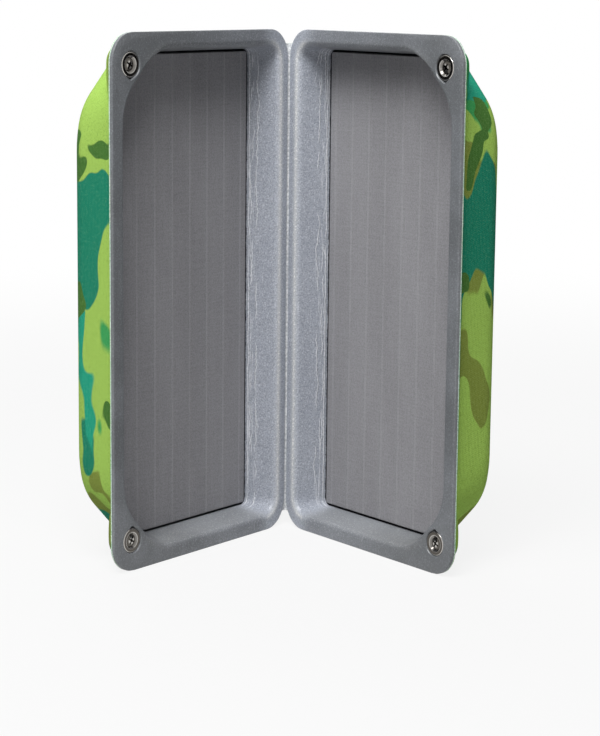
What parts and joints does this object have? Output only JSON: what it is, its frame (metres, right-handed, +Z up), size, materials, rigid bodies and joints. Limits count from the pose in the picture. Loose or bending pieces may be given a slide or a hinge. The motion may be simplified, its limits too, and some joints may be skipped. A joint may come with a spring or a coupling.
{
  "type": "fly box",
  "caption": "Soft clam-shell fly box: two moulded foam halves on a living hinge, slit foam panels inside, corner ring magnets that hold it shut, camouflage knit outside.",
  "frame": {"origin": "middle of the footprint on the surface that the open box stands on", "axes": "+Z up along the hinge, X across from one half to the other, the mouth opens towards -Y"},
  "size_m": [0.157, 0.0906, 0.203],
  "materials": {
    "shell_foam": "matte, fine grain",
    "camouflage_knit": "ribbed knit",
    "panel_foam": "matte, brushed",
    "adhesive_film": "matte",
    "magnet_nickel": "bright nickel",
    "screw_steel": "zinc plated",
    "anchor_plastic": "matte"
  },
  "bodies": {
    "left_half": {"left_shell": "shell_foam", "left_cover": "camouflage_knit", "left_panel": "panel_foam", "left_adhesive": "adhesive_film", "left_lower_magnet": "magnet_nickel", "left_upper_magnet": "magnet_nickel", "left_lower_screw": "screw_steel", "left_upper_screw": "screw_steel", "left_lower_anchor": "anchor_plastic", "left_upper_anchor": "anchor_plastic", "hinge_fabric": "camouflage_knit", "hinge_foam": "shell_foam"},
    "right_half": {"right_shell": "shell_foam", "right_cover": "camouflage_knit", "right_panel": "panel_foam", "right_adhesive": "adhesive_film", "right_lower_magnet": "magnet_nickel", "right_upper_magnet": "magnet_nickel", "right_lower_screw": "screw_steel", "right_upper_screw": "screw_steel", "right_lower_anchor": "anchor_plastic", "right_upper_anchor": "anchor_plastic"}
  },
  "joints": [
    {"name": "lid_hinge", "type": "hinge", "parent": "left_half", "child": "right_half", "pos_m": [0, 0.03708, 0], "axis": [0, 0, 1], "range_deg": [-75.1, 104.9], "deforming": ["hinge_fabric", "hinge_foam"]}
  ]
}
